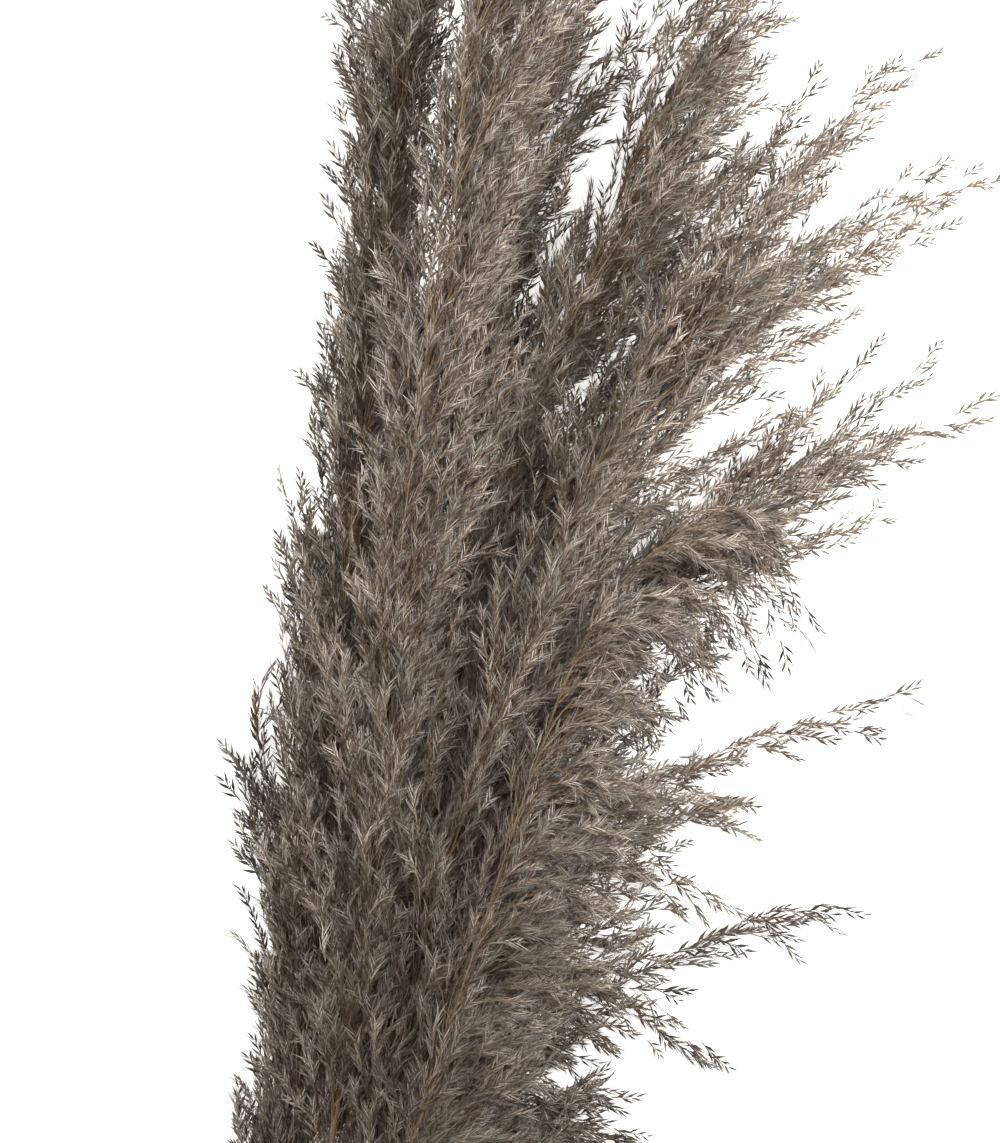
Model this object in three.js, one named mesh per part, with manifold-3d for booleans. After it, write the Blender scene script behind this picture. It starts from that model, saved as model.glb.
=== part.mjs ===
// A tied bundle of dried pampas grass lying on its side: eleven cut stems, each a cane with a feathery, nodding
// plume, held by a few turns of twine. Millimetres, +Z up. The plumes point along +Y, the floor is z = 0.
import * as THREE from "three";
import { mergeVertices } from "three/addons/utils/BufferGeometryUtils.js";
import Module from "manifold-3d";

const wasm = await Module();
wasm.setup();

// ---- Driving dimensions, in millimetres and degrees. The tie is at y = 0. ----

// For each stem: where its cane sits in the tied bunch (column, row, in steps of the cane pitch), the length of
// its longest spray (reach), how far its lowest sprays open from the plume's axis, how far round that axis they
// stand on either side of +X (fan), how far a spray sags as a share of its length, how rare long ones are
// (straggle), and four points that the axis passes through from base to tip.
const STEMS = [
  {
    column: -1, row: 0, reach: 230, open: 17, fan: 180, sag: [0.12, 0, -0.06], straggle: 3.4,
    axis: [[-50, 253, 42], [-30, 390, 22], [-22, 490, 13], [-12, 605, 11]],
  },
  {
    column: 0, row: 0, reach: 160, open: 22, fan: 180, sag: [0.1, 0, -0.06], straggle: 1.6,
    axis: [[3, 286, 42], [24, 478, 22], [50, 665, 13], [88, 910, 11]],
  },
  {
    column: 1, row: 0, reach: 250, open: 28, fan: 100, sag: [0.45, -1.0, 0], straggle: 3.2,
    axis: [[42, 231, 40], [47, 292, 22], [54, 332, 14], [70, 362, 13]],
  },
  {
    column: -1.5, row: 1, reach: 230, open: 14, fan: 180, sag: [0.07, 0, 0], straggle: 2.0,
    axis: [[-34, 297, 72], [-17, 478, 68], [3, 687, 60], [33, 940, 52]],
  },
  {
    column: -0.5, row: 1, reach: 225, open: 27, fan: 150, sag: [0.16, -0.06, -0.04], straggle: 1.0,
    axis: [[2, 297, 74], [34, 506, 60], [88, 705, 56], [166, 918, 52]],
  },
  {
    column: 0.5, row: 1, reach: 280, open: 29, fan: 120, sag: [0.12, -0.02, -0.04], straggle: 1.3,
    axis: [[22, 280, 74], [58, 451, 68], [114, 586, 60], [188, 682, 52]],
  },
  {
    column: 1.5, row: 1, reach: 440, open: 30, fan: 100, sag: [0.38, -0.72, -0.06], straggle: 4.0,
    axis: [[38, 253, 70], [48, 330, 50], [56, 392, 42], [74, 444, 38]],
  },
  {
    column: -1, row: 2, reach: 180, open: 24, fan: 150, sag: [0.12, 0, -0.1], straggle: 1.1,
    axis: [[-13, 308, 104], [12, 500, 112], [36, 726, 106], [72, 975, 92]],
  },
  {
    column: 0, row: 2, reach: 270, open: 30, fan: 130, sag: [0.16, 0, -0.12], straggle: 0.9,
    axis: [[11, 292, 106], [49, 490, 114], [106, 664, 101], [190, 812, 82]],
  },
  {
    column: 1, row: 2, reach: 330, open: 30, fan: 100, sag: [0.4, -0.3, -0.28], straggle: 3.1,
    axis: [[30, 270, 102], [48, 380, 96], [68, 458, 88], [98, 524, 80]],
  },
  {
    column: 0.5, row: 3, reach: 90, open: 26, fan: 140, sag: [0.2, -0.85, -0.3], straggle: 1.3,
    axis: [[17, 297, 130], [67, 450, 132], [130, 630, 123], [190, 700, 104]],
  },
];

const CANE_PITCH = 6.5; // between the axes of neighbouring canes in the tie
const CANE_CUT_R = 3; // radius at the cut end
const CANE_TOP_R = 2.3; // radius where the plume begins
const CANE_KNEE_RISE = 0.1; // how far a knee stands out of the cane
const CANE_KNEE_HALF = 5; // half the length of a knee
const CANE_KNEES = [-104, 92]; // where the knees are, along y, at the middle of their stagger
const CANE_KNEE_STAGGER = 40; // how far apart the same knee of two canes can be
const CANE_SIDES = 6;
const CANE_BEND_STEPS = 5;
const CUT_Y = -178; // the longest cut end
const CUT_STAGGER = 16; // how much shorter the shortest cut end is
const STRAIGHT_UNTIL_Y = 14; // the canes run side by side up to here
const TURN_PART = 0.36; // handle length of the bend above the tie, as a share of the distance it spans

const TWINE_D = 2.2;
const TWINE_TURNS = 4;
const TWINE_GROOVE = 0.45; // height of the groove between two turns, as a share of the twine
const TIE_STEPS = 24;
const KNOT_R = 3.1;
const KNOT_ANGLE = 62; // round the bunch, from +X towards +Z
const TWINE_END_LENGTH = 11;
const TWINE_END_SIDES = 5;

const CORE_BASE_R = 2.6; // the plume's own axis with the spikelets that sit on it, at its base and its tip
const CORE_TIP_R = 1.2;
const CORE_SWELL = 5; // how much thicker it is where it is fullest
const CORE_STEPS = 12;
const CORE_SIDES = 6;

const SPRAYS = 17; // sprays on each plume, and one more that ends it
const FIRST_SPRAY = 0.03; // first and last spray, as a share of the plume's axis
const LAST_SPRAY = 0.94;
const SPRAY_ROOT_R = 1.35;
const SPRAY_TIP_R = 0.7;
const SPRAY_STEP = 36; // length of one spikelet row along a spray
const TIP_OPENING = 0.8; // opening of the highest spray, as a share of the lowest
const TIP_REACH = 0.88; // length of the highest spray, as a share of the lowest
const SHORTEST = 0.5; // shortest spray, as a share of the longest
const FLATNESS = 0.5; // how much less the sprays spread up and down than to the sides
const WEIGHT = 0.12; // how far a spray is bent down by its weight, as a share of its length
const SPIKELET_REACH = 8.5; // how far a spikelet stands out of its spray
const SPIKELET_LEAN = 19; // how far a spikelet's point lies ahead of its middle

const SEAT_GAP = 0.3; // between pieces that touch
const CLEAR = 0.4; // least distance between sprays
const FLOOR_LIFT = 2.2; // height of a spray's axis where it lies on the floor
const GOLDEN_ANGLE = 137.508; // turn round the plume's axis from one spray to the next
const PLUME_TURN = 40; // turn of one plume's sprays against those of the plume before
const TERMINAL_OPENING = 2; // opening of the spray that ends a plume

const CANE_COLOUR = "#8d7a5c";
const PLUME_COLOUR = "#665b51";
const TWINE_COLOUR = "#a58b63";

// ---- Helpers ----

const radians = THREE.MathUtils.degToRad;
const lerp = THREE.MathUtils.lerp;
const UP = new THREE.Vector3(0, 0, 1);
const ALONG = new THREE.Vector3(0, 1, 0);

// An even spread of numbers from 0 to 1, the same in every run: entry n of series k.
function evenly(n, k = 0) {
  return (n * 0.618034 + k * 0.754878) % 1;
}

// A closed tube through rings of points round its axis. Where raise gives a point for a face, that face
// is drawn out to it as a four-sided spike. A tip, if given, closes the far end in a point.
function tube(rings, { raise, tip, closed = false } = {}) {
  const sides = rings[0].length;
  const points = rings.flat();
  const faces = [];
  const at = (ring, side) => (ring % rings.length) * sides + (side % sides);
  for (let ring = 0; ring + (closed ? 0 : 1) < rings.length; ring++)
    for (let side = 0; side < sides; side++) {
      const face = [at(ring, side), at(ring, side + 1), at(ring + 1, side + 1), at(ring + 1, side)];
      const spike = raise?.(ring, side);
      if (spike) {
        points.push(spike);
        face.forEach((corner, i) => faces.push(corner, face[(i + 1) % 4], points.length - 1));
      } else faces.push(face[0], face[1], face[2], face[0], face[2], face[3]);
    }
  if (!closed) {
    const last = rings.length - 1;
    if (tip) points.push(tip);
    for (let side = 1; side + 1 < sides; side++) {
      faces.push(at(0, 0), at(0, side + 1), at(0, side));
      if (!tip) faces.push(at(last, 0), at(last, side), at(last, side + 1));
    }
    if (tip)
      for (let side = 0; side < sides; side++)
        faces.push(at(last, side), at(last, side + 1), points.length - 1);
  }
  return new THREE.BufferGeometry().setFromPoints(points).setIndex(faces);
}

// A ring of points round a centre, across the plane of two unit vectors.
function ring(centre, normal, binormal, radius, sides) {
  return Array.from({ length: sides }, (_, side) => {
    const angle = (side / sides) * Math.PI * 2;
    return centre
      .clone()
      .addScaledVector(normal, radius * Math.cos(angle))
      .addScaledVector(binormal, radius * Math.sin(angle));
  });
}

function solidOf(geometry) {
  const bare = geometry.clone().deleteAttribute("normal").deleteAttribute("uv");
  const merged = mergeVertices(bare, 1e-3);
  return new wasm.Manifold(
    new wasm.Mesh({
      numProp: 3,
      vertProperties: merged.attributes.position.array,
      triVerts: new Uint32Array(merged.index.array),
    }),
  );
}

function geometryOf(solid) {
  const { numProp, vertProperties, triVerts } = solid.getMesh();
  const points = [];
  for (let i = 0; i < vertProperties.length; i += numProp)
    points.push(new THREE.Vector3(vertProperties[i], vertProperties[i + 1], vertProperties[i + 2]));
  const geometry = new THREE.BufferGeometry().setFromPoints(points).setIndex([...triVerts]);
  geometry.computeVertexNormals();
  return geometry;
}

// ---- Canes ----

const FIRST_ROW_Z = TWINE_D + SEAT_GAP + CANE_CUT_R; // the twine under the lowest canes lies on the floor
const CUT_DROP = TWINE_D + SEAT_GAP; // and their cut ends rest on it

function seatInTie(stem) {
  const rowHeight = CANE_PITCH * Math.sin(radians(60));
  return new THREE.Vector3(stem.column * CANE_PITCH, 0, FIRST_ROW_Z + stem.row * rowHeight);
}

function plumeAxis(stem) {
  const points = stem.axis.map((point) => new THREE.Vector3(...point));
  return new THREE.CatmullRomCurve3(points, false, "catmullrom", 0.5);
}

// The cane runs straight through the tie, then bends out to where its plume begins.
function canePath(stem, index) {
  const seat = seatInTie(stem);
  const axis = plumeAxis(stem);
  const cut = new THREE.Vector3(seat.x, CUT_Y + CUT_STAGGER * evenly(index), seat.z - CUT_DROP);
  const bend = new THREE.Vector3(seat.x, STRAIGHT_UNTIL_Y, seat.z);
  const top = axis.getPoint(0).addScaledVector(axis.getTangent(0), -SEAT_GAP);
  const handle = TURN_PART * bend.distanceTo(top);
  const path = new THREE.CurvePath();
  path.add(new THREE.LineCurve3(cut, bend));
  path.add(
    new THREE.CubicBezierCurve3(
      bend,
      bend.clone().addScaledVector(ALONG, handle),
      top.clone().addScaledVector(axis.getTangent(0), -handle),
      top,
    ),
  );
  return path;
}

function caneSolid(stem, index) {
  const path = canePath(stem, index);
  const length = path.getLength();
  const knees = CANE_KNEES.map((y) => y + CANE_KNEE_STAGGER * (evenly(index, 1) - 0.5) - CUT_Y);
  const straight = path.curves[0].getLength();
  const stations = [0];
  for (let i = 0; i <= CANE_BEND_STEPS; i++) stations.push(lerp(straight, length, i / CANE_BEND_STEPS));
  for (const knee of knees) stations.push(knee - CANE_KNEE_HALF, knee, knee + CANE_KNEE_HALF);
  stations.sort((a, b) => a - b);
  const rings = stations.map((along) => {
    const share = along / length;
    const tangent = path.getTangentAt(share);
    const normal = new THREE.Vector3().crossVectors(UP, tangent).normalize();
    const binormal = new THREE.Vector3().crossVectors(tangent, normal);
    const rise = knees.includes(along) ? CANE_KNEE_RISE : 0;
    const radius = lerp(CANE_CUT_R, CANE_TOP_R, share) + rise;
    return ring(path.getPointAt(share), normal, binormal, radius, CANE_SIDES);
  });
  return solidOf(tube(rings));
}

// ---- Twine ----

// The turns lie on the canes that stand furthest out: each point of one belongs to the outermost cane that way.
function onTie(angle, rise, y) {
  const out = new THREE.Vector3(Math.cos(angle), 0, Math.sin(angle));
  const seats = STEMS.map(seatInTie).sort((a, b) => b.dot(out) - a.dot(out));
  return seats[0].addScaledVector(out, CANE_CUT_R + SEAT_GAP + rise).addScaledVector(ALONG, y);
}

function twineEnd(knot, side) {
  const away = new THREE.Vector3(side * 0.5, side * 0.75, 0.3).normalize();
  const normal = new THREE.Vector3().crossVectors(UP, away).normalize();
  const binormal = new THREE.Vector3().crossVectors(away, normal);
  const rings = [0, TWINE_END_LENGTH].map((along) =>
    ring(knot.clone().addScaledVector(away, along), normal, binormal, TWINE_D / 2, TWINE_END_SIDES),
  );
  return solidOf(tube(rings));
}

function tieSolid() {
  const width = TWINE_D * TWINE_TURNS;
  const turns = Array.from({ length: TIE_STEPS }, (_, step) => {
    const angle = (step / TIE_STEPS) * Math.PI * 2;
    const section = [onTie(angle, 0, -width / 2)];
    for (let i = 0; i <= 2 * TWINE_TURNS; i++) {
      const rise = i % 2 ? TWINE_D : TWINE_D * TWINE_GROOVE;
      section.push(onTie(angle, rise, -width / 2 + (i * TWINE_D) / 2));
    }
    section.push(onTie(angle, 0, width / 2));
    return section;
  });
  const knot = onTie(radians(KNOT_ANGLE), KNOT_R + SEAT_GAP, 0);
  const ball = new THREE.SphereGeometry(KNOT_R, 8, 6).translate(knot.x, knot.y, knot.z);
  return wasm.Manifold.union([
    solidOf(tube(turns, { closed: true })),
    solidOf(ball),
    twineEnd(knot, 1),
    twineEnd(knot, -1),
  ]);
}

// ---- Plumes ----

// A closed stem along a path, with every face past its bare foot drawn out to a pointed spikelet.
function spikedStem(path, steps, sides, radius, seed, tip) {
  const { tangents, normals, binormals } = path.computeFrenetFrames(steps);
  const place = (i) => path.getPointAt(Math.min(i / steps, 1));
  const rings = Array.from({ length: tip ? steps : steps + 1 }, (_, i) =>
    ring(place(i), normals[i], binormals[i], radius(i / steps), sides),
  );
  const raise = (i, side) => {
    if (i === 0) return null;
    const angle = ((side + 0.5) / sides) * Math.PI * 2;
    const size = 0.8 + 0.35 * evenly(sides * i + side, seed);
    const out = radius(i / steps) - SPRAY_ROOT_R + SPIKELET_REACH * size;
    return place(i + 0.5)
      .addScaledVector(normals[i], Math.cos(angle) * out)
      .addScaledVector(binormals[i], Math.sin(angle) * out)
      .addScaledVector(tangents[i], SPIKELET_LEAN * size);
  };
  return solidOf(tube(rings, { raise, tip: tip ? place(steps) : null }));
}

function coreSolid(stem, index) {
  const swell = (share) => CORE_SWELL * Math.sin(Math.PI * Math.sqrt(share));
  const radius = (share) => lerp(CORE_BASE_R, CORE_TIP_R, share) + swell(share);
  return spikedStem(plumeAxis(stem), CORE_STEPS, CORE_SIDES, radius, index, false);
}

function spraySolid(path, seed) {
  const steps = Math.max(3, Math.round(path.getLength() / SPRAY_STEP));
  return spikedStem(path, steps, 3, (share) => lerp(SPRAY_ROOT_R, SPRAY_TIP_R, share), seed, true);
}

// The course of one spray: out of the plume's axis at an angle, then sagging.
function sprayPath(stem, share, azimuth, opening, length) {
  const axis = plumeAxis(stem);
  const tangent = axis.getTangentAt(share);
  const across = new THREE.Vector3().crossVectors(tangent, UP).normalize();
  const above = new THREE.Vector3().crossVectors(across, tangent);
  const out = across
    .multiplyScalar(Math.cos(radians(azimuth)))
    .addScaledVector(above, FLATNESS * Math.sin(radians(azimuth)));
  const heading = tangent
    .clone()
    .multiplyScalar(Math.cos(radians(opening)))
    .addScaledVector(out, Math.sin(radians(opening)))
    .normalize();
  const root = axis.getPointAt(share);
  const middle = root.clone().addScaledVector(heading, length / 2);
  const end = root.clone().addScaledVector(heading, length).addScaledVector(UP, -WEIGHT * length);
  end.addScaledVector(new THREE.Vector3(...stem.sag), length * share);
  for (const point of [middle, end]) point.z = Math.max(point.z, FLOOR_LIFT);
  return new THREE.QuadraticBezierCurve3(root, middle, end);
}

// Grows one spray where there is room: it is turned round the axis, then shortened, until it is clear.
function growSpray(stem, order, index, obstacles) {
  const terminal = order === SPRAYS;
  const share = terminal ? 1 : lerp(FIRST_SPRAY, LAST_SPRAY, order / (SPRAYS - 1));
  const opening = terminal ? TERMINAL_OPENING : stem.open * lerp(1, TIP_OPENING, share);
  const azimuth = stem.fan * (((order * GOLDEN_ANGLE + index * PLUME_TURN) % 360) / 180 - 1);
  const straggling = terminal ? 1 : lerp(SHORTEST, 1, evenly(order, index) ** stem.straggle);
  const length = stem.reach * lerp(1, TIP_REACH, share) * straggling;
  for (const shorter of [1, 0.75, 0.5])
    for (const turn of [0, 35, -35, 70, -70, 110, -110, 150, -150]) {
      const solid = spraySolid(sprayPath(stem, share, azimuth + turn, opening, length * shorter), index);
      if (isClear(solid, obstacles)) return solid;
    }
  return null;
}

function isClear(solid, obstacles) {
  const box = solid.boundingBox();
  return obstacles.every(
    (other) =>
      [0, 1, 2].some((i) => box.min[i] > other.box.max[i] + CLEAR || other.box.min[i] > box.max[i] + CLEAR) ||
      solid.minGap(other.solid, CLEAR) >= CLEAR,
  );
}

// A solid without the small hollows that sprays close in where they cross.
function outside(solid) {
  return solid.decompose().reduce((a, b) => (a.volume() > b.volume() ? a : b));
}

// All plumes grow together, one spray each in turn, so that none takes the room of the others.
function plumeSolids(canes, tie) {
  const cores = STEMS.map(coreSolid);
  const grown = STEMS.map(() => []);
  const obstacle = (solid) => ({ solid, box: solid.boundingBox() });
  const placed = [tie, ...canes, ...cores].map(obstacle);
  for (let order = SPRAYS; order >= 0; order--)
    STEMS.forEach((stem, index) => {
      const others = placed.filter((other) => other.solid !== cores[index]);
      const spray = growSpray(stem, order, index, others);
      if (!spray) return;
      grown[index].push(spray);
      placed.push(obstacle(spray));
    });
  return cores.map((core, index) => {
    const plume = wasm.Manifold.union([core, ...grown[index]]);
    return outside(plume.trimByPlane([0, 0, 1], 0));
  });
}

// ---- The bundle ----

const caneMaterial = new THREE.MeshStandardMaterial({ color: CANE_COLOUR, roughness: 0.6, metalness: 0 });
const plumeMaterial = new THREE.MeshStandardMaterial({ color: PLUME_COLOUR, roughness: 0.85, metalness: 0 });
const twineMaterial = new THREE.MeshStandardMaterial({ color: TWINE_COLOUR, roughness: 0.95, metalness: 0 });

const bundle = new THREE.Group();

function add(name, solid, material) {
  const mesh = new THREE.Mesh(geometryOf(solid), material);
  mesh.name = name;
  bundle.add(mesh);
}

const tie = tieSolid();
const canes = STEMS.map(caneSolid);
const plumes = plumeSolids(canes, tie);
canes.forEach((cane, i) => add(`stalk_${i + 1}`, cane, caneMaterial));
plumes.forEach((plume, i) => add(`plume_${i + 1}`, plume, plumeMaterial));
add("twine_tie", tie, twineMaterial);

// The part's origin is the middle of its box, on the floor.
const box = new THREE.Box3().setFromObject(bundle);
const middle = box.getCenter(new THREE.Vector3());
bundle.position.set(-middle.x, -middle.y, -box.min.z);

export default bundle;
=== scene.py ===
# %% [markdown]
# # A bundle of dried pampas grass
#
# Pampas grass is cut when its plumes have opened, then dried and tied in a bunch. Seen from close by, a
# plume is made of very small things in great number. A stiff axis carries long drooping branches, each
# branch carries short twigs, and along every twig sit spikelets: little fishbones of dark pointed florets
# in a haze of silky hair.
#
# This lesson builds the plant in that same order, so that the form of the whole comes from how its parts
# grow. Canes and twine follow. The bundle lies on a table with its tips towards +Y, and the camera looks
# straight down.

# %% Load the fixed frame
import math

import bpy
import numpy as np
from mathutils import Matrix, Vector


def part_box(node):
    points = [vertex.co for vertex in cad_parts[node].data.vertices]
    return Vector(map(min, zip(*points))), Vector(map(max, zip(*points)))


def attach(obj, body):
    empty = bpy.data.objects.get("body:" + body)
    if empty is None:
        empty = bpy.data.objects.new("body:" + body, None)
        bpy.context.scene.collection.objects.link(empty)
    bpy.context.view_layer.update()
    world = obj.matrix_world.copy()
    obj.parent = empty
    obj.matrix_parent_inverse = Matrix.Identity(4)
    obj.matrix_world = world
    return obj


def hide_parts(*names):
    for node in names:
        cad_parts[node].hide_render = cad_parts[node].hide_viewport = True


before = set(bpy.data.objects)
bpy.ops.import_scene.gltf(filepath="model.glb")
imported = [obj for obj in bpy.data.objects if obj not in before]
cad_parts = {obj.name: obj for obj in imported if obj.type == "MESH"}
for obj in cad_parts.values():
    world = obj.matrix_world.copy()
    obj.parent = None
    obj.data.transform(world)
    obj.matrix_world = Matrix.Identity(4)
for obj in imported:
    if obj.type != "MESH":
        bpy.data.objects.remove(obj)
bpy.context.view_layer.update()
MM = 0.001

# %% [markdown]
# ## Where everything is measured from
#
# The plumes are laid out in millimetres from the middle of the tie, with the table at height zero. The
# frame has its own origin, so the tie has to be found in it. Its turns lie evenly on both sides of y = 0,
# which gives y. The second cane runs straight through the middle of the bunch, so the middle of its cut end
# gives x.

# %% Find the tie
middle_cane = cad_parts["stalk_2"].data.vertices
cut_y = min(vertex.co.y for vertex in middle_cane)
cut_end = [vertex.co.x for vertex in middle_cane if vertex.co.y < cut_y + MM]
tie_low, tie_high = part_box("twine_tie")
HOME = np.array([sum(cut_end) / len(cut_end), (tie_low.y + tie_high.y) / 2, 0])
print("tie at", HOME.round(4))

# %% [markdown]
# ## The camera
#
# The photograph is a close view of the plumes. A long lens far above the table keeps them free of
# perspective. The picture's scale comes from the spikelets, which give 0.55 mm for each of its pixels. The
# tie lies below the picture's lower edge, and the same scale says where.

# %% Camera
PHOTO_WIDTH, PHOTO_HEIGHT = 1000, 1143
MM_PER_PIXEL = 0.55
TIE_PIXEL = (345, 1790)
CAMERA_HEIGHT = 5.0
FOCUS_HEIGHT = 0.09
SENSOR = 36

camera = bpy.data.objects.new("camera", bpy.data.cameras.new("camera"))
bpy.context.scene.collection.objects.link(camera)
bpy.context.scene.camera = camera
camera.location = (
    HOME[0] + (PHOTO_WIDTH / 2 - TIE_PIXEL[0]) * MM_PER_PIXEL * MM,
    HOME[1] + (TIE_PIXEL[1] - PHOTO_HEIGHT / 2) * MM_PER_PIXEL * MM,
    FOCUS_HEIGHT + CAMERA_HEIGHT,
)
camera.data.sensor_width = SENSOR
camera.data.lens = SENSOR * CAMERA_HEIGHT / (PHOTO_HEIGHT * MM_PER_PIXEL * MM)
camera.data.clip_end = 50
print("lens", round(camera.data.lens), "mm")

# %% [markdown]
# ## Shader maths
#
# A material is a graph of nodes. Written out one node at a time, a graph hides its idea, so a small class
# wraps a socket and lets numbers be added and multiplied in plain expressions. Colours go through Mix
# nodes.

# %% Shader helpers
BLACK, WHITE = (0, 0, 0, 1), (1, 1, 1, 1)
RELIEF_DEPTH = 0.0002


def linear(hex_colour):
    """The linear colour that a shader wants, from an sRGB colour as it is written on the web."""
    parts = [int(hex_colour[i : i + 2], 16) / 255 for i in (1, 3, 5)]
    return [c / 12.92 if c <= 0.04045 else ((c + 0.055) / 1.055) ** 2.4 for c in parts] + [1]


class Amount:
    """A number that varies over a surface."""

    def __init__(self, finish, socket):
        self.finish, self.socket = finish, socket

    def _math(self, operation, first, second):
        return self.finish.add("ShaderNodeMath", {"operation": operation}, {0: first, 1: second})

    def __add__(self, other):
        return self._math("ADD", self, other)

    def __sub__(self, other):
        return self._math("SUBTRACT", self, other)

    def __mul__(self, other):
        return self._math("MULTIPLY", self, other)


class Finish:
    """One material, built from expressions."""

    def __init__(self, name):
        self.material = bpy.data.materials.new(name)
        self.material.use_nodes = True
        self.tree = self.material.node_tree
        self.tree.nodes.clear()

    def add(self, kind, settings=None, sockets=None, output=0):
        node = self.tree.nodes.new(kind)
        for name, value in (settings or {}).items():
            if name == "stops":
                self._set_stops(node.color_ramp, value)
            else:
                setattr(node, name, value)
        for key, value in (sockets or {}).items():
            if isinstance(value, Amount):
                self.tree.links.new(value.socket, node.inputs[key])
            else:
                node.inputs[key].default_value = value
        return Amount(self, node.outputs[output]) if node.outputs else None

    @staticmethod
    def _set_stops(ramp, stops):
        while len(ramp.elements) < len(stops):
            ramp.elements.new(1)
        for element, (place, colour) in zip(ramp.elements, stops):
            element.position, element.color = place, colour

    def mix(self, first, second, share, how="MIX"):
        settings = {"data_type": "RGBA", "blend_type": how}
        return self.add("ShaderNodeMix", settings, {0: share, 6: first, 7: second}, output=2)

    def place(self, stretch=(1, 1, 1)):
        coordinates = self.add("ShaderNodeTexCoord", output=3)
        return self.add("ShaderNodeMapping", None, {"Vector": coordinates, "Scale": stretch})

    def noise(self, scale, detail, stretch=(1, 1, 1)):
        sockets = {"Vector": self.place(stretch), "Scale": scale, "Detail": detail}
        return self.add("ShaderNodeTexNoise", None, sockets)

    def ramp(self, amount, *stops):
        return self.add("ShaderNodeValToRGB", {"stops": stops}, {0: amount})

    def grain(self):
        """The three numbers that a piece's own "grain" attribute holds."""
        grain = self.add("ShaderNodeAttribute", {"attribute_name": "grain"})
        return [self.add("ShaderNodeSeparateColor", None, {0: grain}, output=i) for i in range(3)]

    def relief(self, height, strength):
        sockets = {"Height": height, "Strength": strength, "Distance": RELIEF_DEPTH}
        return self.add("ShaderNodeBump", None, sockets)

    def close(self, sockets):
        surface = self.add("ShaderNodeBsdfPrincipled", None, sockets)
        self.add("ShaderNodeOutputMaterial", None, {"Surface": surface})
        return self.material


# %% [markdown]
# ## The finish of the plumes
#
# A floret is dark grey-brown, warm where it joins its twig and pale at its point, and the hair is
# silver-grey. Every spikelet also has a tone of its own, because some took more dye than others. This is
# painted from one attribute of the mesh that its maker fills in: the spikelet's tone, how far along the
# floret a point is, and whether it is hair. The plumes are also darkened towards their foot, as painted
# shade for the dense lower mass that shades itself; the distance from the tie gives how far.

# %% Plume finish
FLORET_FOOT = linear("#a98461")
FLORET_DARK = linear("#615042")
FLORET_TIP = linear("#bdab9a")
HAIR_DARK = linear("#a59c93")
HAIR_PALE = linear("#ede5dd")
OLD_DYE = linear("#7f7b66")
PAINTED_FOOT_SHADE, PAINTED_FOOT_SHADE_REACH = (0.74, 0.73, 0.71, 1), (0.4, 0.64)
DEEPEST_TONE, PALEST_TONE = (0.6, 0.6, 0.58, 1), (1.3, 1.28, 1.25, 1)


def plume_finish():
    finish = Finish("plume_silk")
    tone, along, hair = finish.grain()
    floret = finish.ramp(along, (0, FLORET_FOOT), (0.2, FLORET_DARK), (0.7, FLORET_DARK), (1, FLORET_TIP))
    silk = finish.mix(HAIR_DARK, HAIR_PALE, along)
    colour = finish.mix(floret, silk, hair)
    patch = finish.ramp(finish.noise(28, 2), (0.45, BLACK), (0.65, WHITE))
    colour = finish.mix(colour, OLD_DYE, patch * 0.3)
    shade = finish.ramp(tone, (0, DEEPEST_TONE), (1, PALEST_TONE))
    colour = finish.mix(colour, shade, 1.0, "MULTIPLY")
    # Painted shade: the colour is darkened towards the foot of the plumes, where the dense mass shades
    # itself.
    from_tie = finish.add("ShaderNodeSeparateXYZ", None, {0: finish.place()}, output=1) - float(HOME[1])
    depth = finish.ramp(from_tie, (PAINTED_FOOT_SHADE_REACH[0], PAINTED_FOOT_SHADE), (PAINTED_FOOT_SHADE_REACH[1], WHITE))
    colour = finish.mix(colour, depth, 1.0, "MULTIPLY")
    gloss = {"Roughness": 0.5, "Sheen Weight": 0.3, "Specular IOR Level": 0.3}
    return finish.close({"Base Color": colour, **gloss})


plume_silk = plume_finish()

# %% [markdown]
# The twigs and axes are dry straw. Most are tan or brown, and here and there one has stayed olive green.

# %% Twig finish
STRAW = linear("#907455")
RUST = linear("#604b39")
OLIVE = linear("#5f6238")
PALE_STRAW = linear("#c9b08a")
DARK_STRAW = linear("#4b3a2a")


def twig_finish():
    finish = Finish("plume_straw")
    tone, along, _ = finish.grain()
    colour = finish.ramp(tone, (0, OLIVE), (0.08, RUST), (0.55, STRAW), (1, PALE_STRAW))
    colour = finish.mix(colour, RUST, along * 0.6)
    streak = finish.noise(900, 2, (1, 0.1, 1))
    colour = finish.mix(colour, DARK_STRAW, streak * 0.35)
    return finish.close({"Base Color": colour, "Roughness": 0.45, "Specular IOR Level": 0.4})


plume_straw = twig_finish()

# %% [markdown]
# ## One floret and one hair, modelled by hand
#
# A cone with three sides is the simplest solid there is: four corners and four faces. It is flattened, and
# one corner of its base is pulled back to make the foot. That gives a slim closed blade, widest near its
# foot and sharp at its point. Four faces are enough, since there will be hundreds of thousands of them. The
# hair is the same, but narrower.

# %% Floret and hair
def nothing_selected():
    if bpy.context.object and bpy.context.object.mode != "OBJECT":
        bpy.ops.object.mode_set(mode="OBJECT")
    bpy.ops.object.select_all(action="DESELECT")


def take_shape(piece):
    """The piece's corners and triangles as arrays. The piece itself is no longer needed."""
    mesh = piece.data
    mesh.calc_loop_triangles()
    corners = np.array([vertex.co for vertex in mesh.vertices])
    triangles = np.array([face.vertices for face in mesh.loop_triangles])
    bpy.data.objects.remove(piece)
    return corners, triangles


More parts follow.
